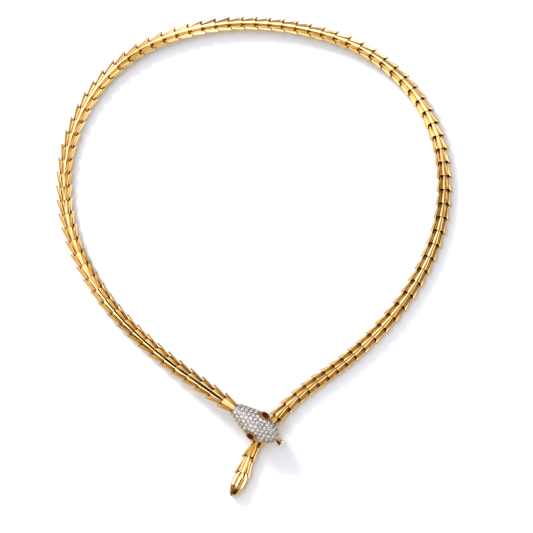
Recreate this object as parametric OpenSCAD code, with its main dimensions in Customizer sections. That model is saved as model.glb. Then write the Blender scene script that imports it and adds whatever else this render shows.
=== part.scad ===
// Snake necklace: flared scale links on a core thread, with a stone-set head that lies over
// the chain near its tail. It lies flat, ridge up, with the head towards -Y.

/* [Chain] */
// Width of a scale over the tips of its wings
scale_w = 5.64; // [5.5:0.02:5.7]
// Height of a scale at its middle ridge
scale_h = 3.45; // [3.4:0.01:3.5]
// Thickness of a scale's sheet
sheet = 0.27; // [0.24:0.01:0.27]
// Length of a scale as a share of the distance to the next one
scale_reach = 1.32; // [1.28:0.01:1.34]
// Diameter of the core thread
thread_d = 0.7; // [0.5:0.1:0.7]
// Length of chain that climbs to the head
ramp_l = 38; // [34:1:44]

/* [Head] */
// Height of the head's underside above the ground
head_base = 4; // [3.98:0.01:4.1]
// Sideways roll of the head, in degrees
head_roll = 4; // [3:0.5:4.5]
// Height of the yellow metal shell
shell_h = 1.9; // [1.8:0.05:2]
// Width of the shell's rim that shows beside the plate
rim = 0.2; // [0.15:0.05:0.25]
// Wall of the white metal plate
plate_wall = 1.1; // [1:0.05:1.2]
// Gap between one piece and the next
gap = 0.06; // [0.05:0.01:0.08]

/* [Eyes] */
// Diameter of an eye stone
eye_d = 2.1; // [1.8:0.1:2.1]
// Length of a bezel, corner to corner
bezel_l = 3.8; // [3.6:0.1:3.9]
// Width of a bezel
bezel_w = 2.8; // [2.7:0.05:2.8]
// Outward tilt of the eyes, in degrees
eye_tilt = 44; // [40:1:48]

/* [Tongue] */
// Length of tongue that shows
tongue_l = 1.9; // [1.5:0.1:2.2]
// Distance between the outer corners of the fork
tongue_w = 2.2; // [1.8:0.1:2.4]
// Thickness of the tongue
tongue_t = 0.8; // [0.6:0.05:0.8]

/* [Hidden] */

gold = "goldenrod";
white_gold = "lightgray";
$fn = 32;

// The chain's first point, and its direction there
start = [-6.14, -53.62];
start_heading = 144;
// Plan of the chain from the head round to the tail's tip: length of each arc, its turn
arcs = [
    [20, 0.5], [25, -8.5], [30, -20.5], [30, -29], [30, -31], [30, -33.5], [30, -22],
    [30, -18], [30, -30], [30, -34], [30, -29], [30, -20.5], [30, -14.5], [25, 17],
    [15, 18.5], [10, -8.5]
];
// How far the ridge leans out of the loop: distance along the chain, degrees
leans = [
    [0, 4], [12, 2], [50, -2], [130, 2], [160, 14], [190, 24], [225, 22], [255, 13], [300, 5],
    [350, 3], [385, 0], [400, -4], [425, -11]
];
// Scales in runs of equal spacing: how many, distance from tip to tip
runs = [
    [10, 4.8], [20, 4.69], [30, 4.63], [15, 4.79], [5, 3.85], [2, 4.15], [2, 4.95],
    [1, 5.3], [2, 5.55], [1, 5.7]
];
// The last scales are narrower. Columns: distance of a scale's wing tips along the chain,
// then its width and the width of its neck, as shares of the others'
narrowing = [
    [386.1, 1, 1], [391, 1, 0.93], [396, 0.94, 0.88], [401.3, 0.85, 0.82], [406.9, 0.79, 0.77],
    [412.4, 0.85, 0.75], [418.1, 0.96, 0.86]
];
// Distance along the chain of the first scale's wing tips
first_tip = 6;
// Scales in the left half of the chain, and in all of it
left_count = 43;
chain_count = 89;

// Corners of half a scale, from the ridge to the underside. Columns: side and height at
// the free edge, side and height at the neck, all as shares of half the width and of the
// height, then how far the free edge is cut back, as a share of the scale's length
corners = [
    [0.06, 1.00, 0.05, 0.79, 0.13],
    [0.28, 0.92, 0.15, 0.73, 0.17],
    [0.48, 0.59, 0.29, 0.43, 0.31],
    [0.77, 0.75, 0.42, 0.48, 0.04],
    [1.00, 0.62, 0.53, 0.40, 0.00],
    [0.67, 0.00, 0.35, 0.17, 0.12]
];
corner_count = 2 * len(corners);
mid_h = 0.46 * scale_h;
thread_h = 0.39 * scale_h;

// Tail tip, from inside the last scale to the point. Columns: distance back from the point,
// half width, top, underside, share of the rimmed section that the point has
tip_rows = [
    [10.3, 1.1, 2.4, 0.5, 0], [8.7, 1.5, 2.6, 0.42, 0], [7.3, 2.3, 2.85, 0.05, 0],
    [5.6, 2.5, 3.0, 0, 0], [3.7, 2.32, 2.95, 0, 0], [3.5, 2.26, 2.8, 0, 1],
    [2.3, 1.93, 2.6, 0, 1], [1.3, 1.48, 2.35, 0.05, 1], [0.6, 1.0, 2.1, 0.15, 1],
    [0.2, 0.6, 1.9, 0.3, 1], [0, 0.25, 1.6, 0.7, 1]
];
// Corners of half the tail tip's section, as shares of its half width and its height, first
// behind the step and then at the point, where a rim goes round a lower middle
tip_corners = [[0.08, 1], [0.32, 0.92], [0.56, 0.5], [0.82, 0.58], [1, 0.44], [0.64, 0]];
rim_corners = [[0.06, 0.8], [0.3, 0.68], [0.68, 0.62], [0.8, 0.86], [1, 0.6], [0.64, 0]];
tail_end = 425.8;

// Place of the head's neck and the direction of its snout
head_at = [-6.54, -53.32];
head_heading = -36;
// The chain's first end lies this much higher than the head's underside
neck_rise = 0.1;
end_lift = head_base + neck_rise;
// The head from the neck to the snout. Columns: station, half width, height of the dome
head_rows = [
    [0, 2.2, 1.95], [1.6, 2.75, 2.3], [3.6, 3.4, 2.7], [6, 4.1, 3.05], [8.4, 4.6, 3.25],
    [10.4, 4.8, 3.25], [12, 4.45, 3.05], [13.4, 4.0, 2.75], [14.6, 3.5, 2.4],
    [15.6, 2.9, 2.0], [16.5, 2.2, 1.55], [17.2, 1.4, 1.1], [17.6, 0.6, 0.7]
];
girdle_z = head_base + shell_h;
snout = head_rows[len(head_rows) - 1][0];

// Rows of stones across the dome. Columns: station, stones, angle of the last stone from
// the top, diameter
stone_rows = [
    [1.0, 4, 57, 1.3], [2.3, 5, 64, 1.3], [3.65, 6, 67, 1.3], [5.05, 7, 70, 1.32],
    [6.5, 8, 71, 1.32], [7.9, 5, 36, 1.25], [9.3, 4, 29, 1.4], [10.7, 5, 32, 1.13],
    [12.15, 6, 47.5, 1.28], [13.4, 7, 68, 1.3], [14.75, 6, 66, 1.28], [15.95, 5, 62, 1.15],
    [17, 2, 26, 1.0]
];

// Place of the eyes: station, side
eye_at = [9.8, 3.95];

function unit(v) = v / norm(v);
function column(table, i) = [for (row = table) [row[0], row[i]]];

// Point and heading at distance s along the chain
function walk(s, i = 0, p = start, a = start_heading) =
    let (
        arc_l = arcs[i][0],
        last = i == len(arcs) - 1 || s <= arc_l,
        r = arc_l / (arcs[i][1] * PI / 180),
        b = a + arcs[i][1] * (last ? s : arc_l) / arc_l,
        q = p + r * [sin(b) - sin(a), cos(a) - cos(b)]
    )
    last ? [q.x, q.y, b] : walk(s - arc_l, i + 1, q, b);

// Height of the chain's underside, and its slope in degrees. The ramp's foot is a little
// high, so that the tilted scales there stay above the ground
ramp_foot = 0.035;
function ramp_z(s) =
    s < ramp_l
        ? ramp_foot + (end_lift - ramp_foot) * (1 + cos(180 * max(s, 0) / ramp_l)) / 2
        : 0;
function ramp_slope(s) =
    s < ramp_l && s > 0 ? -atan(end_lift * PI / (2 * ramp_l) * sin(180 * s / ramp_l)) : 0;

// Height of a leaning scale's middle above its lowest corner
function middle_z(lean) = max([
    for (c = corners)
        c[0] * scale_w / 2 * abs(sin(lean)) - (c[1] * scale_h - mid_h) * cos(lean)
]);

// Frame of the chain at distance s: middle point, then the directions along, across
// (outwards) and up
function frame(s) =
    let (
        w = walk(s),
        lean = lookup(s, leans),
        slope = ramp_slope(s),
        along = [cos(w[2]) * cos(slope), sin(w[2]) * cos(slope), sin(slope)],
        side = [-sin(w[2]), cos(w[2]), 0],
        top = cross(along, side)
    )
    [
        [w.x, w.y, ramp_z(s) + middle_z(lean)],
        along,
        side * cos(lean) - top * sin(lean),
        top * cos(lean) + side * sin(lean)
    ];

// A point of the section in a frame: distance along, side, height above the underside
function placed(f, u, side, h) = f[0] + u * f[1] + side * f[2] + (h - mid_h) * f[3];

// Both halves of a section, from the ridge round to the ridge
function both_sides(half) = concat(
    half, [for (i = [len(half) - 1:-1:0]) [-half[i][0], half[i][1]]]
);

// A closed section moved inwards by d
function inset(p, d) = [
    for (i = [0:len(p) - 1])
        let (
            a = unit(p[i] - p[(i + len(p) - 1) % len(p)]),
            b = unit(p[(i + 1) % len(p)] - p[i]),
            m = [a.y, -a.x],
            n = [b.y, -b.x]
        )
        p[i] + d * (m + n) / (1 + m * n)
];

// Distance along the chain of scale i's wing tips, and its distance from the tips before
function tip_at(i, run = 0) =
    i <= runs[run][0] ? i * runs[run][1]
        : runs[run][0] * runs[run][1] + tip_at(i - runs[run][0], run + 1);
function spacing(i, run = 0) =
    i <= runs[run][0] ? runs[run][1] : spacing(i - runs[run][0], run + 1);

// The four rings of a scale: neck outside, free edge outside, free edge inside, neck inside
function scale_points(i) =
    let (
        length = spacing(i) * scale_reach,
        s = first_tip + tip_at(i),
        f = frame(s - length / 2),
        wide = scale_w / 2 * lookup(s, column(narrowing, 1)),
        thin = scale_w / 2 * lookup(s, column(narrowing, 2)),
        edge = both_sides([for (c = corners) [c[0] * wide, c[1] * scale_h]]),
        neck = both_sides([for (c = corners) [c[2] * thin, c[3] * scale_h]]),
        edge_in = inset(edge, sheet),
        neck_in = inset(neck, sheet * 0.8),
        cut = both_sides([for (c = corners) [0, c[4] * length]]),
        rows = [[neck, 0], [edge, 1], [edge_in, 1], [neck_in, 0]]
    )
    [
        for (row = rows)
            for (k = [0:corner_count - 1])
                let (u = row[1] == 0 ? -length / 2 : length / 2 - cut[k].y)
                placed(f, u, row[0][k].x, row[0][k].y)
    ];

// Faces between rings of n points each. A closed set of rings joins the last to the first
function ring_faces(first, rings, n, closed) = [
    for (r = [0:rings - (closed ? 1 : 2)])
        for (i = [0:n - 1])
            let (
                a = first + r * n + i,
                b = first + r * n + (i + 1) % n,
                c = first + ((r + 1) % rings) * n + (i + 1) % n,
                d = first + ((r + 1) % rings) * n + i
            )
            each [[a, b, c], [a, c, d]]
];
function cap_faces(rings, n) = [
    [for (i = [n - 1:-1:0]) i],
    [for (i = [0:n - 1]) (rings - 1) * n + i]
];

// Scales from number a up to number b
module scales(a, b) {
    polyhedron(
        points = [for (i = [a:b - 1]) each scale_points(i)],
        faces = [for (i = [0:b - a - 1]) each ring_faces(i * 4 * corner_count, 4, corner_count, true)]
    );
}

module links_left() {
    color(gold) scales(0, left_count);
}

module links_right() {
    color(gold) scales(left_count, chain_count);
}

// Share of the thread's diameter that is left at a distance along the chain
thinning = [[388, 1], [398, 0.6]];

// The core thread, an even row of rings from inside the head to inside the tail tip
module spine() {
    rings = 80;
    sides = 8;
    from = 0.2;
    to = tail_end - 10.6;
    color(gold) polyhedron(
        points = [
            for (r = [0:rings - 1])
                let (s = from + (to - from) * r / (rings - 1), f = frame(s))
                for (k = [0:sides - 1])
                    let (a = -360 * (k + 0.5) / sides, radius = thread_d / 2 * lookup(s, thinning))
                    placed(f, 0, radius * cos(a), thread_h + radius * sin(a))
        ],
        faces = concat(ring_faces(0, rings, sides, false), cap_faces(rings, sides))
    );
}

module tail_tip() {
    n = 2 * len(tip_corners);
    color(gold) polyhedron(
        points = [
            for (row = tip_rows)
                let (
                    f = frame(tail_end - row[0]),
                    rise = row[2] - row[3],
                    shape = row[4] * rim_corners + (1 - row[4]) * tip_corners,
                    half = [for (c = shape) [c[0] * row[1], row[3] + c[1] * rise]]
                )
                for (p = both_sides(half)) placed(f, 0, p.x, p.y)
        ],
        faces = concat(ring_faces(0, len(tip_rows), n, false), cap_faces(len(tip_rows), n))
    );
}

// Places what it is given in the head's own frame: X to the snout, Y to the left eye
module at_head() {
    pivot = [0, 0, head_base + 1.8];
    translate([head_at.x, head_at.y, 0] + pivot) rotate(head_heading) rotate([head_roll, 0, 0])
        translate(-pivot) children();
}

function half_width(a) = lookup(a, column(head_rows, 1)) - rim;
function dome_height(a) = lookup(a, column(head_rows, 2));
// Point of the dome at a station and an angle from the top
function dome(a, angle) =
    [a, half_width(a) * sin(angle), girdle_z + dome_height(a) * cos(angle)];
function dome_normal(a, angle) =
    let (d = 0.4)
    unit(cross(dome(a + d, angle) - dome(a - d, angle), dome(a, angle + 3) - dome(a, angle - 3)));

// The head's dome above the height low, drawn in by wall at its sides, top and ends
module dome_solid(wall, low) {
    n = 13;
    rows = [for (row = head_rows) if (row[0] >= wall * 1.5 && row[0] <= snout - wall * 1.5) row];
    polyhedron(
        points = [
            for (row = rows)
                for (k = [0:n - 1])
                    let (
                        angle = 180 * k / (n - 1) - 90,
                        side = (row[1] - rim - wall) * sin(angle),
                        high = girdle_z + gap + (row[2] - gap - wall) * cos(angle)
                    )
                    [row[0], side, abs(angle) == 90 ? low : high]
        ],
        faces = concat(ring_faces(0, len(rows), n, false), cap_faces(len(rows), n))
    );
}

// Stones of the dome: station, angle, diameter
stones = [
    for (row = stone_rows)
        for (k = [0:row[1] - 1])
            let (angle = row[2] * (2 * k / (row[1] - 1) - 1))
            [row[0], angle, row[3] * (1 - 0.2 * abs(angle) / 90)]
];

// A cut stone's width and height at its table, and its depth, as shares of its radius
table_r = 0.56;
crown_h = 0.34;
pavilion_h = 0.85;
stone_sides = 8;
stone_size = 2 * stone_sides + 1;

// A cut stone's points about its girdle's middle p, where n is up: table, girdle, culet
function stone_points(p, n, d) =
    let (
        e = unit(cross([0, 1, 0], n)),
        g = cross(n, e),
        r = d / 2,
        step = -360 / stone_sides
    )
    concat(
        [
            for (k = [0.5:stone_sides])
                p + table_r * r * (cos(k * step) * e + sin(k * step) * g) + crown_h * r * n
        ],
        [for (k = [0:stone_sides - 1]) p + r * (cos(k * step) * e + sin(k * step) * g)],
        [p - pavilion_h * r * n]
    );
function stone_faces(first) = [
    [for (i = [0:stone_sides - 1]) first + i],
    for (i = [0:stone_sides - 1])
        let (
            j = (i + 1) % stone_sides,
            girdle = first + stone_sides,
            culet = girdle + stone_sides
        )
        each [
            [first + i, girdle + i, girdle + j],
            [first + i, girdle + j, first + j],
            [girdle + i, culet, girdle + j]
        ]
];

module pave_stones() {
    color("white") at_head() polyhedron(
        points = [
            for (s = stones)
                let (n = dome_normal(s[0], s[1]))
                each stone_points(dome(s[0], s[1]) + gap * n, n, s[2])
        ],
        faces = [for (i = [0:len(stones) - 1]) each stone_faces(i * stone_size)]
    );
}

// A tapered seat for one stone, open at the dome's surface
module seat(s) {
    p = dome(s[0], s[1]);
    n = dome_normal(s[0], s[1]);
    r = s[2] / 2 + gap;
    bottom_r = 0.25 * r;
    rise = 0.3;
    translate(p) rotate([0, acos(n.z), atan2(n.y, n.x)]) translate([0, 0, -r])
        cylinder(h = r + rise, r1 = bottom_r, r2 = r + (r - bottom_r) * rise / r);
}

// The opening at the back of the head that takes the chain's first scale
module neck_socket() {
    depth = 1.4;
    side = 1.85;
    top = 0.65;
    low = head_base + neck_rise + 0.4;
    high = head_base + neck_rise + 3.05;
    shoulder = head_base + neck_rise + 2;
    translate([depth, 0, 0]) rotate([90, 0, -90]) linear_extrude(depth + 1)
        polygon([
            [-side, low], [side, low], [side, shoulder], [top, high], [-top, high],
            [-side, shoulder]
        ]);
}

// Corners of the shell's left side where it is w wide from the middle
function shell_side(w) = [[w, girdle_z], [w, girdle_z - 0.7], [0.8 * w, head_base]];

module head_shell() {
    floor_t = 0.8;
    wall = 1.2;
    n = 6;
    inner = [for (row = head_rows) if (row[0] > 2.5 && row[0] < 15) row];
    color(gold) difference() {
        at_head() polyhedron(
            points = [
                for (row = head_rows)
                    for (p = both_sides(shell_side(row[1]))) [row[0], p.x, p.y]
            ],
            faces = concat(ring_faces(0, len(head_rows), n, false), cap_faces(len(head_rows), n))
        );
        at_head() translate([0, 0, head_base + floor_t]) linear_extrude(shell_h)
            polygon(concat(
                [for (row = inner) [row[0], row[1] - wall]],
                [for (i = [len(inner) - 1:-1:0]) [inner[i][0], wall - inner[i][1]]]
            ));
        at_head() neck_socket();
        at_head() at_snout() tongue_blank(gap);
        for (side = [-1, 1]) at_head() at_eye(side) bezel_blank(gap, 1);
        hook_pin(gap);
    }
}

module pave_plate() {
    at_head() color(white_gold) difference() {
        dome_solid(0, girdle_z + gap);
        dome_solid(plate_wall, girdle_z - 1);
        neck_socket();
        for (side = [-1, 1]) at_eye(side) bezel_blank(gap, 2);
        for (s = stones) seat(s);
    }
}

// Places what it is given on the dome's flank, Z outwards. Side is 1 for the left eye
module at_eye(side) {
    angle = asin(eye_at.y / half_width(eye_at.x));
    z = girdle_z + dome_height(eye_at.x) * cos(angle);
    translate([eye_at.x, side * eye_at.y, z]) rotate([-side * eye_tilt, 0, 0]) children();
}

bezel_depth = 1.1;
bezel_rise = 0.55;

// Almond outline of a bezel, grown by room on every side and raised by more
module bezel_blank(room, more) {
    r = (pow(bezel_l, 2) + pow(bezel_w, 2)) / (4 * bezel_w);
    low = -bezel_depth - room;
    high = bezel_rise + more;
    intersection_for(side = [-1, 1])
        translate([0, side * (r - bezel_w / 2), low]) cylinder(h = high - low, r = r + room, $fn = 64);
}

module bezel() {
    r = eye_d / 2 + gap;
    color(gold) difference() {
        bezel_blank(0, 0);
        translate([0, 0, -bezel_depth]) cylinder(h = bezel_depth, r1 = 0.3 * r, r2 = r);
        cylinder(h = 2, r = r);
    }
}

module eye_stone() {
    color("darkred") translate([0, 0, gap]) polyhedron(
        points = stone_points([0, 0, 0], [0, 0, 1], eye_d),
        faces = stone_faces(0)
    );
}

module eye_bezel_left() {
    at_head() at_eye(1) bezel();
}

module eye_bezel_right() {
    at_head() at_eye(-1) bezel();
}

module eye_left() {
    at_head() at_eye(1) eye_stone();
}

module eye_right() {
    at_head() at_eye(-1) eye_stone();
}

tongue_z = head_base + 0.75;
tongue_turn = -6;

// Places what it is given at the snout, X along the tongue
module at_snout() {
    translate([snout, 0, tongue_z]) rotate(tongue_turn) children();
}

// Stem and fork of the tongue, grown by room
module tongue_blank(room) {
    stem_l = 2.8;
    stem = 0.6 + room;
    tip = tongue_w / 2;
    translate([0, 0, -room]) linear_extrude(tongue_t + 2 * room)
        polygon([
            [-stem_l - room, -stem], [-0.2, -stem], [tongue_l - 0.3, -tip],
            [tongue_l, 0.35 - tip], [tongue_l - 0.9, 0], [tongue_l, tip - 0.35],
            [tongue_l - 0.3, tip], [-0.2, stem], [-stem_l - room, stem]
        ]);
}

module tongue() {
    groove = 0.5;
    at_head() at_snout() color(gold) difference() {
        tongue_blank(0);
        translate([0.1, 0, tongue_t]) rotate([45, 0, 0])
            translate([0, -groove / 2, -groove / 2]) cube([tongue_l, groove, groove]);
    }
}

// Place of the hook beside the chain under the head: distance along the chain, side of its
// outer face
hook_s = 399.4;
hook_side = -3.75;
hook_t = 0.7;
hook_w = 2.4;
// The strap ends this much lower than the middle of the head's underside
hook_drop = 0.3;

// Places what it is given at the hook, X along the chain
module at_hook() {
    w = walk(hook_s);
    translate([w.x, w.y, 0]) rotate(w[2]) translate([0, hook_side, 0]) children();
}

module hook_pin(room) {
    at_hook() translate([0, hook_t / 2, head_base - 0.5])
        cylinder(h = 1 + room, r = 0.28 + room);
}

// The plain hidden hook: a strap beside the chain with a foot under it
module clasp_hook() {
    foot_z = 0.12;
    foot_t = 0.4;
    foot_l = 1.35;
    color(gold) {
        at_hook() translate([-hook_w / 2, 0, foot_z]) {
            cube([hook_w, hook_t, head_base - hook_drop - foot_z]);
            cube([hook_w, foot_l, foot_t]);
        }
        hook_pin(0);
    }
}

links_left();
links_right();
spine();
tail_tip();
head_shell();
pave_plate();
pave_stones();
eye_bezel_left();
eye_bezel_right();
eye_left();
eye_right();
tongue();
clasp_hook();
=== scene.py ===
import math
import random

import bmesh
import bpy
from mathutils import Matrix, Vector


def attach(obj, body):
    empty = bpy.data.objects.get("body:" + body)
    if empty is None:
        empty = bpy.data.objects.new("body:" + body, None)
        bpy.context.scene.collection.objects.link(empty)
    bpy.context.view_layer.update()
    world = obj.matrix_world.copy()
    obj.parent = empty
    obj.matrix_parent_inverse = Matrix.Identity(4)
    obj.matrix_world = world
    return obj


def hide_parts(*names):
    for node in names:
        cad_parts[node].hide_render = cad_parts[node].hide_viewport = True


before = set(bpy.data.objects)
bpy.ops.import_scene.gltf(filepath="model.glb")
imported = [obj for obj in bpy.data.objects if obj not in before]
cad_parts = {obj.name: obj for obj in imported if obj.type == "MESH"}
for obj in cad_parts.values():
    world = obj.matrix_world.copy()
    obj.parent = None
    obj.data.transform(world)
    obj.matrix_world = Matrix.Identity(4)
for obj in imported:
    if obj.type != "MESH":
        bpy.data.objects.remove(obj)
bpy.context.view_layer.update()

mm = 0.001  # pieces are modelled in millimetres and brought to metres at the end


# Small helpers for modelling

def degrees(value):  # an angle given in degrees
    return math.radians(value)


def blend(a, b, t):
    return a + (b - a) * t


def lookUp(value, rows, column=1):  # straight from row to row
    if value <= rows[0][0]:
        return rows[0][column]
    for low, high in zip(rows, rows[1:]):
        if value <= high[0]:
            return blend(low[column], high[column], (value - low[0]) / (high[0] - low[0]))
    return rows[-1][column]


def lookUpSmooth(value, rows, column=1):  # on a smooth curve through the rows
    value = min(max(value, rows[0][0]), rows[-1][0])
    i = max(k for k in range(len(rows) - 1) if rows[k][0] <= value)

    def slope(k):  # of the curve at row k
        a, b = rows[max(k - 1, 0)], rows[min(k + 1, len(rows) - 1)]
        return (b[column] - a[column]) / (b[0] - a[0])

    a, b = rows[i], rows[i + 1]
    span = b[0] - a[0]
    t = (value - a[0]) / span
    return ((2 * t ** 3 - 3 * t ** 2 + 1) * a[column] + (t ** 3 - 2 * t ** 2 + t) * span * slope(i)
            + (3 * t ** 2 - 2 * t ** 3) * b[column] + (t ** 3 - t ** 2) * span * slope(i + 1))


def takeNew(name):  # the object that the last operator added or worked on
    piece = bpy.context.active_object
    piece.name = name
    piece.data.name = name
    return piece


def only(*pieces):
    bpy.ops.object.select_all(action="DESELECT")
    for piece in pieces:
        piece.select_set(True)
    bpy.context.view_layer.objects.active = pieces[0]


def edit(piece):
    only(piece)
    bpy.ops.object.mode_set(mode="EDIT")
    bpy.ops.mesh.select_mode(type="VERT")


def done():
    bpy.ops.object.mode_set(mode="OBJECT")


def pick(piece, test):  # selects the corners that pass the test
    mesh = bmesh.from_edit_mesh(piece.data)
    bpy.ops.mesh.select_all(action="DESELECT")
    for corner in mesh.verts:
        if test(corner):
            corner.select_set(True)
    mesh.select_flush_mode()
    bmesh.update_edit_mesh(piece.data)


def moveCorner(piece, place, target):
    mesh = bmesh.from_edit_mesh(piece.data)
    corner = min(mesh.verts, key=lambda v: (v.co - place).length)
    pick(piece, lambda v: v is corner)
    bpy.ops.transform.translate(value=target - corner.co)


def finishWith(piece, kind, **settings):  # adds a modifier and applies it
    only(piece)
    modifier = piece.modifiers.new(kind.title(), kind)
    for key, value in settings.items():
        setattr(modifier, key, value)
    bpy.ops.object.modifier_apply(modifier=modifier.name)


def roundEdges(piece, width, angle, segments=3, harden=False):  # those sharper than the angle
    finishWith(piece, "BEVEL", width=width, segments=segments, limit_method="ANGLE",
               angle_limit=degrees(angle), harden_normals=harden)


def softEdges(piece, width, angle):  # narrow rounded edges between facets that stay flat
    only(piece)
    bpy.ops.object.shade_smooth()
    roundEdges(piece, width, angle, segments=2, harden=True)


def cleanUp(piece):
    edit(piece)
    bpy.ops.mesh.select_all(action="SELECT")
    bpy.ops.mesh.remove_doubles(threshold=0.001)
    bpy.ops.mesh.normals_make_consistent(inside=False)
    done()


def smooth(piece, angle):
    only(piece)
    bpy.ops.object.shade_smooth_by_angle(angle=degrees(angle))


def copyTo(piece, place, name):
    copied = piece.copy()
    copied.data = piece.data.copy()
    copied.name = name
    copied.matrix_world = place
    bpy.context.scene.collection.objects.link(copied)
    return copied


def joinAll(pieces, name):
    bpy.context.view_layer.update()
    only(*pieces)
    bpy.ops.object.transform_apply(location=True, rotation=True, scale=True)
    if len(pieces) > 1:
        bpy.ops.object.join()
    return takeNew(name)


def remove(piece):
    bpy.data.objects.remove(piece)


def cut(piece, cutter):
    finishWith(piece, "BOOLEAN", operation="DIFFERENCE", object=cutter, solver="EXACT")
    remove(cutter)


def loft(name, rings, capped=False):  # rings of corners, each extruded from the last
    far = 1000  # every new corner starts this far off, so that none is taken for another
    near = 1e-4  # within which a corner belongs to a ring
    bpy.ops.mesh.primitive_circle_add(vertices=len(rings[0]), radius=1, rotation=(0, degrees(90), 0))
    piece = takeNew(name)
    bpy.ops.object.transform_apply(rotation=True)
    edit(piece)
    mesh = bmesh.from_edit_mesh(piece.data)
    for corner, target in zip(list(mesh.verts), rings[0]):
        moveCorner(piece, corner.co.copy(), target - Vector((far, 0, 0)))
    bpy.ops.mesh.select_all(action="SELECT")
    bpy.ops.transform.translate(value=(far, 0, 0))
    step = Vector((0, 0, far))
    for before, ring in zip(rings, rings[1:]):
        bpy.ops.mesh.extrude_edges_move()
        bpy.ops.transform.translate(value=step)
        for corner, target in zip(before, ring):
            moveCorner(piece, corner + step, target)
        pick(piece, lambda v: min((v.co - p).length for p in ring) < near)
    if capped:
        bpy.ops.mesh.edge_face_add()
        pick(piece, lambda v: min((v.co - p).length for p in rings[0]) < near)
        bpy.ops.mesh.edge_face_add()
    done()
    cleanUp(piece)
    return piece


# Materials: sums of node outputs are written as plain expressions

class Signal:
    def __init__(self, board, socket):
        self.board = board
        self.socket = socket

    def math(self, operation, other, flip=False):
        values = (other, self) if flip else (self, other)
        return self.board.add("Math", {"operation": operation}, dict(enumerate(values)))

    def __add__(self, other):
        return self.math("ADD", other)

    def __radd__(self, other):
        return self.math("ADD", other)

    def __sub__(self, other):
        return self.math("SUBTRACT", other)

    def __rsub__(self, other):
        return self.math("SUBTRACT", other, flip=True)

    def __mul__(self, other):
        return self.math("MULTIPLY", other)

    def __rmul__(self, other):
        return self.math("MULTIPLY", other)


class Board:  # the node tree of one material or of the world
    def __init__(self, owner):
        owner.use_nodes = True
        self.tree = owner.node_tree
        self.tree.nodes.clear()

    def add(self, kind, settings=None, sockets=None, output=0):
        node = self.tree.nodes.new("ShaderNode" + kind)
        for key, value in (settings or {}).items():
            setattr(node, key, value)
        for key, value in (sockets or {}).items():
            if isinstance(value, Signal):
                self.tree.links.new(value.socket, node.inputs[key])
            else:
                node.inputs[key].default_value = value
        return Signal(self, node.outputs[output]) if len(node.outputs) else node

    def ramp(self, value, low, high, toLow=0.0, toHigh=1.0):
        return self.add("MapRange", {"interpolation_type": "SMOOTHSTEP"}, {
            "Value": value, "From Min": low, "From Max": high, "To Min": toLow, "To Max": toHigh})

    def noise(self, place, scale, detail=2.0, roughness=0.5):
        return self.add("TexNoise", None, {
            "Vector": place, "Scale": scale, "Detail": detail, "Roughness": roughness})

    def mixColours(self, share, a, b):
        return self.add("Mix", {"data_type": "RGBA"}, {0: share, 6: a, 7: b}, output=2)


def newMaterial(name):
    material = bpy.data.materials.new(name)
    return material, Board(material)


def closeMaterial(board, shader):
    board.add("OutputMaterial", None, {"Surface": shader})


# What the finishes share: the noise values between which tones change, and for the metals also the
# detail of clouds and marks, the height of the marks in metres and how many rays look for the crevices
# that get painted shade
grain = {"patches": (0.35, 0.65), "cloudDetail": 3, "markDetail": 4, "markRoughness": 0.7,
         "markHeight": 0.00002, "rays": 8}


def metal(name, look):  # polished metal with faint handling marks, slow changes of tone and painted shade in its crevices
    material, board = newMaterial(name)
    place = board.add("TexCoord", output=3)
    cloud = board.noise(place, look["cloudScale"], grain["cloudDetail"])
    marks = board.noise(place, look["markScale"], grain["markDetail"], grain["markRoughness"])
    fine = board.noise(place, look["markScale"])
    # ambient occlusion finds the crevices, where the base colour turns to painted shade
    openness = board.add("AmbientOcclusion", {"samples": grain["rays"]},
                         {"Distance": look["crevice"]}, output=1)
    openTone = board.mixColours(board.ramp(cloud, *grain["patches"]), look["deep"], look["light"])
    shader = board.add("BsdfPrincipled", None, {
        "Base Color": board.mixColours(board.ramp(openness, *look["shaded"]), look["creviceShade"], openTone),
        "Roughness": look["roughness"] + look["uneven"] * (cloud + marks - 1.0),
        "Metallic": 1.0,
        "Normal": board.add("Bump", None, {
            "Strength": look["markDepth"], "Distance": grain["markHeight"], "Height": marks + fine})})
    closeMaterial(board, shader)
    return material


# creviceShade: painted shade, a dark tone put in crevices where shade falls; shaded: how open those are
goldLook = {"light": (0.95, 0.625, 0.245, 1), "deep": (0.91, 0.575, 0.205, 1), "roughness": 0.07,
            "uneven": 0.03, "cloudScale": 260, "markScale": 1500, "markDepth": 0.02,
            "crevice": 0.0012, "shaded": (0.25, 0.88), "creviceShade": (0.16, 0.08, 0.02, 1)}
whiteGoldLook = {"light": (0.48, 0.43, 0.35, 1), "deep": (0.35, 0.31, 0.25, 1), "roughness": 0.38,
                 "uneven": 0.1, "cloudScale": 700, "markScale": 3500, "markDepth": 0.12,
                 "crevice": 0.0006, "shaded": (0.1, 0.6), "creviceShade": (0.2, 0.175, 0.145, 1)}


def gem(name, look):  # clear stone, a little cloudy inside
    material, board = newMaterial(name)
    place = board.add("TexCoord", output=3)
    cloud = board.ramp(board.noise(place, look["cloudScale"]), *grain["patches"])
    shader = board.add("BsdfPrincipled", None, {
        "Base Color": board.mixColours(cloud, look["deep"], look["light"]),
        "Roughness": look["roughness"] + look["uneven"] * cloud,
        "IOR": look["bending"],
        "Specular Tint": look["tint"],
        "Transmission Weight": look["clear"],
        "Specular IOR Level": look["shine"]})
    closeMaterial(board, shader)
    return material


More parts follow.
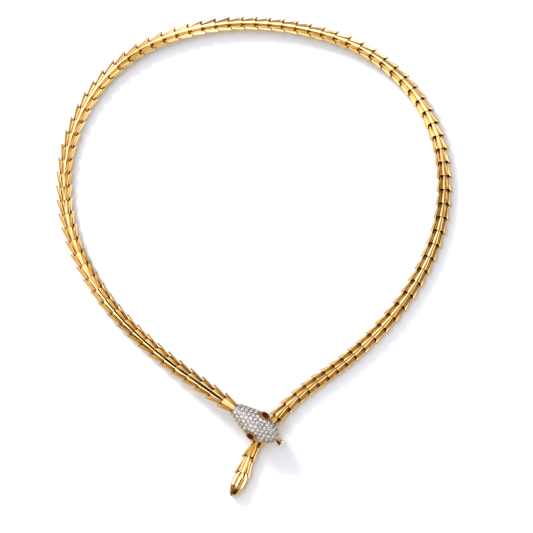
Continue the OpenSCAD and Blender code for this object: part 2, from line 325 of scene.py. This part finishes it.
diamondLook = {"light": (0.97, 0.92, 0.83, 1), "deep": (0.8, 0.74, 0.65, 1), "tint": (1, 0.92, 0.78, 1),
               "bending": 2.42, "clear": 0.7, "shine": 0.5, "roughness": 0.01, "uneven": 0.02,
               "cloudScale": 1400}
rubyLook = {"light": (0.11, 0.0005, 0.008, 1), "deep": (0.04, 0.0003, 0.004, 1),
            "tint": (1, 0.9, 0.8, 1), "bending": 1.77, "clear": 0.1, "shine": 0.05,
            "roughness": 0.01, "uneven": 0.02, "cloudScale": 1400}

gold = metal("gold", goldLook)
whiteGold = metal("whiteGold", whiteGoldLook)
diamond = gem("diamond", diamondLook)
ruby = gem("ruby", rubyLook)
print("materials are ready")


def dress(piece, material, slot, *nodes):  # finish, place on the body, and what it stands for
    piece.data.materials.clear()
    piece.data.materials.append(material)
    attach(piece, "root")
    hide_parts(*nodes)


# The chain's route, the same as in the part's source

route = {
    "start": (-6.14, -53.62), "heading": 144,
    # length of each arc and its turn in degrees
    "arcs": [(20, 0.5), (25, -8.5), (30, -20.5), (30, -29), (30, -31), (30, -33.5), (30, -22),
             (30, -18), (30, -30), (30, -34), (30, -29), (30, -20.5), (30, -14.5), (25, 17),
             (15, 18.5), (10, -8.5)],
    # distance along the chain, lean of the ridge out of the loop
    "leans": [(0, 4), (12, 2), (50, -2), (130, 2), (160, 14), (190, 24), (225, 22), (255, 13),
              (300, 5), (350, 3), (385, 0), (400, -4), (425, -11)],
    # the ramp up to the head's neck: its length, lift at its foot and at the neck
    "rampLength": 38, "rampFoot": 0.035, "endLift": 4.1,
}

chain = {
    "width": 5.64, "height": 3.45, "sheet": 0.27,  # sheet: thickness of the metal
    "middle": 0.46,  # share of the height at which the route runs
    "reach": 1.32,  # length of a scale as a share of the distance to the next one
    "nominal": 6.2,  # length that one scale is modelled at
    "flare": 1.02,  # how much fuller a scale is halfway than a straight cone
    "edge": 0.045, "edgeAngle": 12,  # width of the rounded creases, and the least crease
    "firstTip": 6,  # distance of the first scale's tips
    "leftCount": 43, "count": 89,
    # how many scales, distance from one's tips to the next one's
    "runs": [(10, 4.8), (20, 4.69), (30, 4.63), (15, 4.79), (5, 3.85), (2, 4.15), (2, 4.95),
             (1, 5.3), (2, 5.55), (1, 5.7)],
    # distance of a scale's tips, how much wider its flat ridge is than further on
    "ridges": [(6, 0.1), (20, 0.09), (35, 0.055), (50, 0.035), (62, 0.02), (70, 0)],
    # distance of a scale's tips, shares of the full width at its free edge and at its neck
    "narrowing": [(386.1, 1, 1), (391, 1, 0.93), (396, 0.94, 0.88), (401.3, 0.85, 0.82),
                  (406.9, 0.79, 0.77), (412.4, 0.85, 0.75), (418.1, 0.96, 0.86)],
}

# Corners of half a scale from the ridge to the underside: side and height at the free edge,
# side and height at the neck, how far the free edge is cut back, share of a wider ridge
scaleCorners = [
    (0.085, 1, 0.06, 0.79, 0.13, 1),
    (0.185, 0.9665, 0.11, 0.763, 0.15, 1),
    (0.28, 0.925, 0.15, 0.732, 0.17, 0.8),
    (0.477, 0.65, 0.28, 0.43, 0.2, 0.25),
    (0.583, 0.66, 0.33, 0.43, 0.16, 0),
    (0.77, 0.75, 0.42, 0.48, 0.04, 0),
    (0.89, 0.691, 0.48, 0.443, 0.02, 0),
    (1, 0.62, 0.53, 0.4, 0, 0),
    (0.67, 0, 0.35, 0.17, 0.12, 0),
]


def walk(distance):  # place and heading at this distance along the chain
    x, y = route["start"]
    heading = route["heading"]
    for k, (length, turn) in enumerate(route["arcs"]):
        last = k == len(route["arcs"]) - 1 or distance <= length
        radius = length / degrees(turn)
        after = heading + turn * (distance if last else length) / length
        x += radius * (math.sin(degrees(after)) - math.sin(degrees(heading)))
        y += radius * (math.cos(degrees(heading)) - math.cos(degrees(after)))
        heading = after
        if last:
            return x, y, heading
        distance -= length


def rampHeight(distance):  # the chain rises to the head's neck
    if distance >= route["rampLength"]:
        return 0
    rise = route["endLift"] - route["rampFoot"]
    turn = math.pi * max(distance, 0) / route["rampLength"]
    return route["rampFoot"] + rise * (1 + math.cos(turn)) / 2


def rampSlope(distance):
    if not 0 < distance < route["rampLength"]:
        return 0
    steepest = route["endLift"] * math.pi / (2 * route["rampLength"])
    return -math.atan(steepest * math.sin(math.pi * distance / route["rampLength"]))


def middleHeight(lean):  # at which the lowest corner of a leaning scale touches the ground
    return max(
        row[0] * chain["width"] / 2 * abs(math.sin(lean))
        - (row[1] - chain["middle"]) * chain["height"] * math.cos(lean) for row in scaleCorners)


def placeAt(distance):  # matrix whose X runs along the chain and Z up through the ridge
    x, y, heading = walk(distance)
    lean = degrees(lookUp(distance, route["leans"]))
    turn = Matrix.Rotation(degrees(heading), 4, "Z")
    tip = Matrix.Rotation(-rampSlope(distance), 4, "Y")
    roll = Matrix.Rotation(-lean, 4, "X")
    height = rampHeight(distance) + middleHeight(lean)
    return Matrix.Translation((x, y, height)) @ turn @ tip @ roll


def makeScale(wide=1.0, thin=1.0, ridge=0.0):  # neck at -X, free edge at +X; ridge is its extra width
    width, height, length = chain["width"] / 2, chain["height"], chain["nominal"]
    middle = chain["middle"] * height
    neck, free = [], []
    for side, top, neckSide, neckTop, cutBack, share in scaleCorners:
        more = share * ridge
        neck.append(Vector((-length / 2, (neckSide + more) * width * thin, neckTop * height - middle)))
        free.append(Vector((length / 2 - cutBack * length, (side + more) * width * wide,
                            top * height - middle)))
    for ring in (neck, free):
        ring += [Vector((p.x, -p.y, p.z)) for p in reversed(ring)]
    waist = [(a + b) / 2 for a, b in zip(neck, free)]
    waist = [Vector((p.x, p.y * chain["flare"], p.z * chain["flare"])) for p in waist]
    scale = loft("scale", [neck, waist, free])
    finishWith(scale, "SOLIDIFY", thickness=chain["sheet"], offset=-1, use_even_offset=True)
    softEdges(scale, chain["edge"], chain["edgeAngle"])
    return scale


def tipAt(index):  # distance from the first scale's tips, and the spacing there
    distance = 0
    for count, step in chain["runs"]:
        if index <= count:
            return distance + index * step, step
        distance += count * step
        index -= count


def layScales(scale, first, last, name):
    copies = []
    # between these distances the scales are copies of the one, and past them each has its own shape
    alikeFrom, alikeTo = chain["ridges"][-1][0], chain["narrowing"][0][0] + 0.1
    for i in range(first, last):
        distance, step = tipAt(i)
        length = step * chain["reach"]
        stretch = Matrix.Diagonal((length / chain["nominal"], 1, 1, 1))
        tips = chain["firstTip"] + distance
        place = Matrix.Scale(mm, 4) @ placeAt(tips - length / 2) @ stretch
        if alikeFrom <= tips <= alikeTo:
            copies.append(copyTo(scale, place, f"{name}{i}"))
            continue
        own = makeScale(lookUp(tips, chain["narrowing"]), lookUp(tips, chain["narrowing"], 2),
                        lookUp(tips, chain["ridges"]))
        own.matrix_world = place
        copies.append(own)
    return joinAll(copies, name)


oneScale = makeScale()
print("one scale has", len(oneScale.data.polygons), "faces")
leftScales = layScales(oneScale, 0, chain["leftCount"], "leftScales")
dress(leftScales, gold, "gold", "links_left")
rightScales = layScales(oneScale, chain["leftCount"], chain["count"], "rightScales")
dress(rightScales, gold, "gold", "links_right")
remove(oneScale)
print("scales are laid")


# Tail tip: it comes out of the last scale like a scale, and ends in a rimmed point

tail = {
    "end": 425.8, "edge": 0.045, "edgeAngle": 14,
    # distance back from the point, half width, top, underside, share of the rimmed section
    "rows": [(10.3, 1.1, 2.4, 0.5, 0), (8.7, 1.5, 2.6, 0.42, 0), (7.3, 2.3, 2.85, 0.05, 0),
             (5.6, 2.5, 3.0, 0, 0), (4.4, 2.4, 3.0, 0, 0), (3.7, 2.32, 2.95, 0, 0),
             (3.55, 2.28, 2.82, 0, 1), (2.9, 2.1, 2.7, 0, 1), (2.1, 1.86, 2.5, 0.02, 1),
             (1.3, 1.48, 2.35, 0.05, 1), (0.75, 1.12, 2.15, 0.12, 1), (0.35, 0.78, 2.0, 0.25, 1),
             (0.1, 0.45, 1.8, 0.45, 1), (0, 0.2, 1.5, 0.75, 1)],
    # half the section behind the step: side and height of each corner from the ridge out
    "body": [(0.1, 1), (0.3, 0.93), (0.53, 0.64), (0.62, 0.6), (0.82, 0.6), (0.93, 0.56), (1, 0.46),
             (0.97, 0.36), (0.64, 0)],
    # both halves of the section at the point, where the ridge is off the middle
    "near": [(-0.16, 0.93), (0.2, 0.85), (0.58, 0.76), (0.68, 0.76), (0.78, 0.87), (0.88, 0.87),
             (0.98, 0.74), (1, 0.5), (0.64, 0)],
    "far": [(0.2, 0.92), (0.36, 0.72), (0.58, 0.52), (0.68, 0.52), (0.78, 0.84), (0.88, 0.86),
            (0.98, 0.74), (1, 0.5), (0.64, 0)],
}


def tailHalf(half, wide, top, low, share):
    return [(blend(a[0], b[0], share) * wide, low + blend(a[1], b[1], share) * (top - low))
            for a, b in zip(tail["body"], tail[half])]


def makeTail():
    rings = []
    for back, *sizes in tail["rows"]:
        place = placeAt(tail["end"] - back)
        section = tailHalf("near", *sizes) + [(-y, z) for y, z in reversed(tailHalf("far", *sizes))]
        rings.append([place @ Vector((0, y, z - chain["middle"] * chain["height"]))
                      for y, z in section])
    tip = loft("tailTip", rings, capped=True)
    softEdges(tip, tail["edge"], tail["edgeAngle"])
    tip.data.transform(Matrix.Scale(mm, 4))
    return tip


dress(makeTail(), gold, "gold", "tail_tip")
print("tail is made")


# Head: a yellow shell, a white plate with its stones, eyes in their bezels, and the tongue

head = {
    "at": (-6.54, -53.32), "heading": -36, "roll": 4,
    "pivot": 1.8,  # height above the base about which the head rolls
    "base": 4.0, "shell": 1.9,  # height of the underside, and how much higher the shell reaches
    "rim": 0.2, "gap": 0.06,  # the shell's edge beside the plate, and the room between pieces
    # station from the neck, half width, height of the dome
    "rows": [(0, 2.2, 1.95), (1.6, 2.75, 2.3), (3.6, 3.4, 2.7), (6, 4.1, 3.05), (8.4, 4.6, 3.25),
             (10.4, 4.8, 3.25), (12, 4.45, 3.05), (13.4, 4.0, 2.75), (14.6, 3.5, 2.4),
             (15.6, 2.9, 2.0), (16.5, 2.2, 1.55), (17.2, 1.4, 1.1), (17.6, 0.6, 0.7)],
    "stations": 44, "arcCorners": 29,
    # section of the shell as shares of its half width and height
    "section": [(0.8, 0), (1, 0.62), (1, 1), (-1, 1), (-1, 0.62), (-0.8, 0)],
    "edge": 0.09, "edgeAngle": 30,
}
girdle = head["base"] + head["shell"]
snout = head["rows"][-1][0]
pivot = Matrix.Translation((0, 0, head["base"] + head["pivot"]))
headPlace = (Matrix.Translation((*head["at"], 0))
             @ pivot @ Matrix.Rotation(degrees(head["heading"]), 4, "Z")
             @ Matrix.Rotation(degrees(head["roll"]), 4, "X") @ pivot.inverted())


def headWidth(station):
    return lookUpSmooth(station, head["rows"])


def headHeight(station):
    return lookUpSmooth(station, head["rows"], 2)


def headStations():  # closer together towards the snout
    steps = head["stations"]
    return [snout * math.sin(math.pi / 2 * k / (steps - 1)) for k in range(steps)]


def drawOut(name, section, stations, widths, heights, floor):  # one section stretched along X
    first = [Vector((stations[0], y * widths[0], floor + z * heights[0])) for y, z in section]
    piece = loft(name, [first])
    edit(piece)
    bpy.ops.mesh.select_all(action="SELECT")
    bpy.ops.mesh.edge_face_add()
    bpy.ops.mesh.select_all(action="SELECT")
    for k in range(1, len(stations)):
        bpy.ops.mesh.extrude_region_move(
            TRANSFORM_OT_translate={"value": (stations[k] - stations[k - 1], 0, 0)})
        bpy.ops.transform.resize(
            value=(1, widths[k] / widths[k - 1], heights[k] / heights[k - 1]),
            center_override=(stations[k], 0, floor))
    done()
    cleanUp(piece)
    return piece


def domePoint(station, angle):  # angle from the top, in degrees
    return Vector((station, (headWidth(station) - head["rim"]) * math.sin(degrees(angle)),
                   girdle + headHeight(station) * math.cos(degrees(angle))))


def domeNormal(station, angle, step=0.4, turn=3):  # from points this far off, along and across
    along = domePoint(min(station + step, snout), angle) - domePoint(station - step, angle)
    across = domePoint(station, angle + turn) - domePoint(station, angle - turn)
    return along.cross(across).normalized()


def standOn(point, normal, spin=0.0):  # matrix with Z along the normal
    turn = normal.to_track_quat("Z", "Y").to_matrix().to_4x4()
    return Matrix.Translation(point) @ turn @ Matrix.Rotation(spin, 4, "Z")


# station and side: its place on the dome; length and width: of the bezel; depth and rise: of the
# bezel below and above that place; recess: of its hollow; through: height past which a cutter is
# clear of the head; overlap: of the two cutters that make the seat
eye = {"station": 9.8, "side": 3.95, "diameter": 2.25, "tilt": 44, "length": 3.8, "width": 2.8,
       "depth": 1.1, "rise": 0.5, "wall": 0.17, "recess": 0.45, "through": 2, "corners": 96,
       "edge": 0.08, "edgeAngle": 40, "seatFoot": 0.3, "seatCorners": 64, "overlap": 0.001}


def eyePlace(side):  # Z out of the dome's flank, side 1 for the left eye
    angle = math.asin(eye["side"] / (headWidth(eye["station"]) - head["rim"]))
    height = girdle + headHeight(eye["station"]) * math.cos(angle)
    return (Matrix.Translation((eye["station"], side * eye["side"], height))
            @ Matrix.Rotation(-side * degrees(eye["tilt"]), 4, "X"))


def makeAlmond(name, room, low, high):  # where two upright cylinders overlap
    radius = (eye["length"] ** 2 + eye["width"] ** 2) / (4 * eye["width"])
    halves = []
    for side in (-1, 1):
        bpy.ops.mesh.primitive_cylinder_add(
            vertices=eye["corners"], radius=radius + room, depth=high - low,
            location=(0, side * (radius - eye["width"] / 2), (high + low) / 2))
        halves.append(takeNew(name))
        bpy.ops.object.transform_apply(location=True)
    finishWith(halves[0], "BOOLEAN", operation="INTERSECT", object=halves[1], solver="EXACT")
    remove(halves[1])
    return halves[0]


def cutForEyes(piece, depth):
    for side in (-1, 1):
        hole = makeAlmond("eyeHole", head["gap"], -depth, eye["through"])
        hole.matrix_world = eyePlace(side)
        cut(piece, hole)


# The opening for the chain's first scale. ends: where it starts and stops along the head; lift:
# height above the base; section: side and height of its corners
opening = {"ends": (-1, 1.4), "lift": 0.1,
           "section": [(1.85, 0.4), (1.85, 2), (0.65, 3.05), (-0.65, 3.05), (-1.85, 2), (-1.85, 0.4)]}


def makeOpening():
    low = head["base"] + opening["lift"]
    rings = [[Vector((x, y, low + z)) for y, z in opening["section"]] for x in opening["ends"]]
    return loft("opening", rings, capped=True)


# Two prongs that part in front of the snout. rows: place along the head from the snout, side, width
# and height; section: shares of that width and height
tongue = {
    "floor": 0.75, "turn": -6, "edge": 0.03, "edgeAngle": 20,
    "flat": {"rows": [(-2.8, -0.1, 1.0, 0.8), (-0.2, -0.14, 1.0, 0.8), (0.35, -0.3, 1.1, 0.8),
                      (1.2, -0.52, 1.18, 0.8), (1.78, -0.61, 1.2, 0.8), (1.95, -0.63, 0.86, 0.7)],
             "section": [(-0.5, 0), (-0.5, 0.5), (-0.26, 1), (0.38, 1), (0.5, 0.8), (0.5, 0)]},
    "sloping": {"rows": [(-1.6, 0.1, 0.9, 0.7), (-0.2, 0.22, 0.95, 0.84), (0.5, 0.36, 1.0, 0.86),
                         (1.2, 0.48, 1.0, 0.82), (1.72, 0.56, 1.0, 0.77), (1.95, 0.59, 0.7, 0.66)],
                "section": [(-0.5, 0), (-0.5, 0.9), (-0.36, 1), (0.34, 0.72), (0.5, 0.45), (0.5, 0)]},
}


def makeProng(name, room=0.0):  # room is how much it is grown, for its seat in the shell
    shape = tongue[name]
    rings = [[Vector((x, side + y * (width + 2 * room), z * (height + 2 * room) - room))
              for y, z in shape["section"]] for x, side, width, height in shape["rows"]]
    for corner in rings[0]:
        corner.x -= room
    prong = loft(name, rings, capped=True)
    prong.data.transform(Matrix.Translation((snout, 0, head["base"] + tongue["floor"]))
                         @ Matrix.Rotation(degrees(tongue["turn"]), 4, "Z"))
    return prong


def makeShell():
    stations = headStations()
    widths = [headWidth(s) for s in stations]
    heights = [head["shell"]] * len(stations)
    shell = drawOut("headShell", head["section"], stations, widths, heights, head["base"])
    roundEdges(shell, head["edge"], head["edgeAngle"])
    cut(shell, makeOpening())
    cutForEyes(shell, eye["depth"] + head["gap"])
    for name in ("flat", "sloping"):
        cut(shell, makeProng(name, head["gap"]))
    smooth(shell, angle=35)
    return shell


def setOnHead(piece, material, slot, *nodes):
    piece.data.transform(Matrix.Scale(mm, 4) @ headPlace)
    dress(piece, material, slot, *nodes)


setOnHead(makeShell(), gold, "gold", "head_shell")
print("shell is made")


# Stones across the dome: station, how many, angle of the last one from the top, diameter
stoneRows = [
    (1.0, 4, 57, 1.3), (2.3, 5, 64, 1.3), (3.65, 6, 67, 1.3), (5.05, 7, 70, 1.32),
    (6.5, 8, 71, 1.32), (7.9, 5, 36, 1.25), (9.3, 4, 29, 1.4), (10.7, 5, 32, 1.13),
    (12.15, 6, 47.5, 1.28), (13.4, 7, 68, 1.3), (14.75, 6, 66, 1.28), (15.95, 5, 62, 1.15),
    (17, 2, 26, 1.0),
]
# Radii and heights of the cut are shares of a stone's radius. flat: angle up to which two faces are
# one facet; shrink: how much smaller a stone at the dome's foot is; tilt: how far stones may lean
stone = {"table": 0.56, "crown": 0.34, "star": 0.78, "pavilion": 0.85, "lower": 0.3, "girdle": 0.03,
         "culet": 0.01, "sides": 8, "flat": 1.5, "shrink": 0.2, "tilt": 0.14, "seed": 4}


def makeBrilliant(name):  # a cut stone of diameter 2, its girdle at the origin
    sides = stone["sides"]
    bpy.ops.mesh.primitive_circle_add(vertices=2 * sides, radius=1)
    brilliant = takeNew(name)
    edit(brilliant)
    bpy.ops.mesh.select_all(action="SELECT")
    bpy.ops.transform.translate(value=(0, 0, stone["girdle"] / 2))
    half = math.pi / sides
    starHeight = stone["crown"] * (1 - stone["star"] * math.cos(half)) / (1 - stone["table"])
    lowHeight = stone["pavilion"] * (1 - stone["lower"] * math.cos(half))
    for corners, radius, height, turn in (
            (2 * sides, 1, -stone["girdle"] / 2, 0), (sides, stone["table"], stone["crown"], 0),
            (sides, stone["star"], starHeight, half), (sides, stone["lower"], -lowHeight, half),
            (3, stone["culet"], -stone["pavilion"], 0)):
        bpy.ops.mesh.primitive_circle_add(vertices=corners, radius=radius, location=(0, 0, height),
                                          rotation=(0, 0, turn))
    bpy.ops.mesh.select_all(action="SELECT")
    bpy.ops.mesh.convex_hull(join_triangles=True, face_threshold=degrees(stone["flat"]))
    done()
    return brilliant


def stonePlaces():  # station, angle from the top and diameter of each stone
    places = []
    for station, count, last, diameter in stoneRows:
        for k in range(count):
            angle = last * (2 * k / (count - 1) - 1)
            places.append((station, angle, diameter * (1 - stone["shrink"] * abs(angle) / 90)))
    return places


def makeStones():
    random.seed(stone["seed"])
    brilliant = makeBrilliant("brilliant")
    stones = []
    for k, (station, angle, diameter) in enumerate(stonePlaces()):
        normal = domeNormal(station, angle)
        tilt = Vector([random.uniform(-stone["tilt"], stone["tilt"]) for axis in range(3)])
        place = standOn(domePoint(station, angle) + head["gap"] * normal, (normal + tilt).normalized(),
                        random.uniform(0, math.pi))
        stones.append(copyTo(brilliant, place @ Matrix.Scale(diameter / 2, 4), f"stone{k}"))
    remove(brilliant)
    return joinAll(stones, "paveStones")


setOnHead(makeStones(), diamond, "diamond", "pave_stones")
print("stones are set")


# A drilled seat. depth and foot: shares of its radius; rise: how far the drill stands out of the
# dome; flare: how fast it widens there
seat = {"depth": 1.1, "rise": 0.3, "foot": 0.2, "flare": 0.8, "corners": 20}


def seatRadius(diameter):
    return diameter / 2 + head["gap"] / 2


def seatCutters():
    cutters = []
    for station, angle, diameter in stonePlaces():
        normal = domeNormal(station, angle)
        radius = seatRadius(diameter)
        depth = radius * seat["depth"]
        bpy.ops.mesh.primitive_cone_add(
            vertices=seat["corners"], radius1=seat["foot"] * radius,
            radius2=radius * (1 + seat["flare"] * seat["rise"] / depth), depth=depth + seat["rise"])
        cutter = takeNew("seat")
        cutter.matrix_world = standOn(
            domePoint(station, angle) + normal * (seat["rise"] - depth) / 2, normal)
        cutters.append(cutter)
    return joinAll(cutters, "seats")


# Small beads of white metal that hold the stones. reach: the widest space between two stones that
# gets beads; side: how far they lie from the line between the stones, as a share of a diameter;
# apart: least distance between two; bite: how far the middle of one may lie inside a stone's edge
beading = {"radius": 0.15, "height": 0.8, "corners": (8, 5), "reach": 0.45, "side": 0.32,
           "apart": 0.34, "bite": 0.02, "neckRoom": 0.4, "snoutRoom": 0.5, "eyeRoom": (2, 1.45)}


def beadSpots():  # on both sides of the middle between two neighbours
    places = stonePlaces()
    spots = []
    for i, (station, angle, diameter) in enumerate(places):
        here = domePoint(station, angle)
        for other, otherAngle, otherDiameter in places[i + 1:]:
            there = domePoint(other, otherAngle)
            if (there - here).length - (diameter + otherDiameter) / 2 < beading["reach"]:
                middle = (station + other) / 2, (angle + otherAngle) / 2
                normal = domeNormal(*middle)
                side = normal.cross((there - here).normalized())
                for way in (-1, 1):
                    spot = domePoint(*middle) + way * side * diameter * beading["side"]
                    spots.append((spot, normal))
    return spots


def nearEye(spot):
    along, across = beading["eyeRoom"]
    offs = [eyePlace(side).inverted() @ spot for side in (-1, 1)]
    return any(abs(off.x) < along and abs(off.y) < across for off in offs)


def makeBeads():
    segments, rings = beading["corners"]
    bpy.ops.mesh.primitive_uv_sphere_add(segments=segments, ring_count=rings, radius=1)
    bead = takeNew("bead")
    edit(bead)
    bpy.ops.mesh.select_all(action="SELECT")
    bpy.ops.transform.resize(value=(1, 1, beading["height"]))
    done()
    smooth(bead, angle=180)
    beads = []
    for spot, normal in beadSpots():
        apart = min([(spot - other.matrix_world.translation).length for other in beads],
                    default=2 * beading["apart"])
        clear = min((spot - domePoint(s, a)).length - d / 2 for s, a, d in stonePlaces())
        onPlate = beading["neckRoom"] < spot.x < snout - beading["snoutRoom"] and not nearEye(spot)
        if apart > beading["apart"] and clear > -beading["bite"] and onPlate:
            place = standOn(spot, normal) @ Matrix.Scale(beading["radius"], 4)
            beads.append(copyTo(bead, place, f"bead{len(beads)}"))
    remove(bead)
    print("beads:", len(beads))
    return joinAll(beads, "beads")


def makePlate():
    stations = headStations()
    widths = [headWidth(s) - head["rim"] for s in stations]
    heights = [headHeight(s) - head["gap"] for s in stations]
    turns = [math.pi * k / (head["arcCorners"] - 1) for k in range(head["arcCorners"])]
    section = [(math.cos(turn), math.sin(turn)) for turn in turns]
    plate = drawOut("pavePlate", section, stations, widths, heights, girdle + head["gap"])
    cut(plate, seatCutters())
    cutForEyes(plate, eye["through"])
    cut(plate, makeOpening())
    smooth(plate, angle=30)
    return joinAll([plate, makeBeads()], "pavePlate")


setOnHead(makePlate(), whiteGold, "white_gold", "pave_plate")
print("plate is drilled")


def makeBezel(side, name):  # an almond collet with a thin rim round a hollow that holds the stone
    bezel = makeAlmond(name, 0, -eye["depth"], eye["rise"])
    roundEdges(bezel, eye["edge"], eye["edgeAngle"])
    cut(bezel, makeAlmond("hollow", -eye["wall"], eye["rise"] - eye["recess"], eye["through"]))
    radius = seatRadius(eye["diameter"])
    for low, high, foot in ((-eye["depth"], 0, eye["seatFoot"]), (0, eye["through"], 1)):
        bpy.ops.mesh.primitive_cone_add(
            vertices=eye["seatCorners"], radius1=foot * radius, radius2=radius,
            depth=high - low + eye["overlap"], location=(0, 0, (high + low) / 2))
        cut(bezel, takeNew("seat"))
    smooth(bezel, angle=35)
    bezel.data.transform(eyePlace(side))
    return bezel


def makeEye(side, name):
    eyeStone = makeBrilliant(name)
    eyeStone.data.transform(eyePlace(side) @ Matrix.Translation((0, 0, head["gap"]))
                            @ Matrix.Scale(eye["diameter"] / 2, 4))
    return eyeStone


for side, word in ((1, "left"), (-1, "right")):
    setOnHead(makeBezel(side, f"{word}Bezel"), gold, "gold", f"eye_bezel_{word}")
    setOnHead(makeEye(side, f"{word}Eye"), ruby, "ruby", f"eye_{word}")
print("eyes are in place")


def makeTongue():
    flat, sloping = makeProng("flat"), makeProng("sloping")
    finishWith(flat, "BOOLEAN", operation="UNION", object=sloping, solver="EXACT")
    remove(sloping)
    softEdges(flat, tongue["edge"], tongue["edgeAngle"])
    return takeNew("forkedTongue")


setOnHead(makeTongue(), gold, "gold", "tongue")
print("tongue is made")


# The hidden thread and the plain clasp stay as the solids have them

for name in ("spine", "clasp_hook"):
    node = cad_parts[name]
    node.data.materials.clear()
    node.data.materials.append(gold)


# Floor, light and camera

studio = {
    "horizon": 0.72, "base": 0.86,  # light at the horizon and higher up
    "rise": (-0.05, 0.5),  # heights between which the one turns into the other
    # azimuth from +X, elevation, inner and outer half angle, strength
    "boxes": [(145, 70, 9, 15, 2.8), (135, 50, 16, 26, 0.65), (174, 43, 10, 17, 0.75),
              (-132, 49, 11, 17, 1.4), (60, 47, 7, 12, 1.1), (36, 44, 8, 14, 1.5),
              (14, 47, 8, 13, 1.1), (126, 28, 9, 15, 1.1), (112, 43, 9, 15, 0.8),
              (-90, 81, 6, 11, 0.5), (-150, 80, 5, 10, 0.9), (-32, 28, 10, 18, 0.6),
              (2, 15, 8, 16, 0.6), (103, 6, 6, 12, 0.9), (-139, 32, 7, 12, 1.1)],
    "dark": [(130, 86, 6, 7.4, 0.98), (4, 81.4, 4.6, 5.8, 0.98), (-8, 76, 3.4, 4.4, 0.98),
             (-145, 84.8, 2.2, 3, 0.97), (110, 81, 4.2, 5.5, 0.98), (85, 65, 6, 13, 0.88),
             (47, 63, 7, 13, 0.6), (-22, 57, 11, 20, 0.7), (35, 14, 16, 26, 0.42),
             (80, 36, 8, 18, 0.35), (-86, 60.5, 7, 11, 0.97), (-110, 26, 10, 22, 0.45),
             (80, 3, 20, 40, 0.35)],
    # light of this strength is warm, and of this strength cool
    "warm": (0.6, (1, 0.93, 0.68, 1)), "cool": (1.8, (0.92, 0.98, 1.33, 1)),
    "backdrop": 1.0, "backdropColour": (1, 1, 1, 1),
}


def toward(azimuth, elevation):
    flat = math.cos(degrees(elevation))
    return Vector((flat * math.cos(degrees(azimuth)), flat * math.sin(degrees(azimuth)),
                   math.sin(degrees(elevation))))


def makeWorld():
    world = bpy.data.worlds.new("studio")
    bpy.context.scene.world = world
    board = Board(world)
    direction = board.add("TexCoord", output=0)
    height = board.add("SeparateXYZ", None, {0: direction}, output=2)

    def zone(azimuth, elevation, inner, outer):
        near = board.add("VectorMath", {"operation": "DOT_PRODUCT"},
                         {0: direction, 1: toward(azimuth, elevation)}, output=1)
        return board.ramp(near, math.cos(degrees(outer)), math.cos(degrees(inner)))

    light = board.ramp(height, *studio["rise"], studio["horizon"], studio["base"])
    for *place, strength in studio["boxes"]:
        light = light + strength * zone(*place)
    for *place, strength in studio["dark"]:
        light = light * (1 - strength * zone(*place))
    warm, cool = studio["warm"], studio["cool"]
    colour = board.mixColours(board.ramp(light, warm[0], cool[0]), warm[1], cool[1])
    seen = board.add("LightPath", output=0)
    shader = board.add("Background", None, {
        "Color": board.mixColours(seen, colour, studio["backdropColour"]),
        "Strength": light + seen * (studio["backdrop"] - light)})
    board.add("OutputWorld", None, {"Surface": shader})


paper = {"size": 6, "deep": (0.8, 0.794, 0.735, 1), "light": (0.82, 0.814, 0.755, 1),
         "grainScale": 40, "grainDetail": 4, "roughness": 0.9, "shine": 0.1}


def makeFloor():
    bpy.ops.mesh.primitive_plane_add(size=paper["size"])
    floor = takeNew("floor")
    material, board = newMaterial("palePaper")
    cloud = board.noise(board.add("TexCoord", output=3), paper["grainScale"], paper["grainDetail"])
    shader = board.add("BsdfPrincipled", None, {
        "Base Color": board.mixColours(cloud, paper["deep"], paper["light"]),
        "Roughness": paper["roughness"],
        "Specular IOR Level": paper["shine"]})
    closeMaterial(board, shader)
    floor.data.materials.append(material)
    floor.visible_glossy = False  # the undersides of the scales reflect the world too


keyLight = {"azimuth": 130, "elevation": 27, "distance": 0.9, "size": 0.24, "power": 8.4}


def makeKey():
    aim = toward(keyLight["azimuth"], keyLight["elevation"])
    bpy.ops.object.light_add(type="AREA", location=aim * keyLight["distance"],
                             rotation=aim.to_track_quat("Z", "Y").to_euler())
    lamp = bpy.context.active_object
    lamp.data.energy = keyLight["power"]
    lamp.data.shape = "DISK"
    lamp.data.size = keyLight["size"]
    lamp.visible_glossy = False  # the metal reflects the light zones of the world instead


# The photograph's view, from almost straight above
view = {"target": (4.14, -4.4534, 0), "azimuth": -90, "elevation": 82, "distance": 755.083,
        "focal": 150, "sensor": 36}


def makeCamera():
    back = toward(view["azimuth"], view["elevation"])
    place = Vector(view["target"]) + back * view["distance"]
    bpy.ops.object.camera_add(location=place * mm, rotation=back.to_track_quat("Z", "Y").to_euler())
    camera = bpy.context.active_object
    camera.data.lens = view["focal"]
    camera.data.sensor_width = view["sensor"]
    bpy.context.scene.camera = camera


makeWorld()
makeFloor()
makeKey()
makeCamera()
bpy.context.scene.view_settings.view_transform = "Standard"
print("studio is ready")
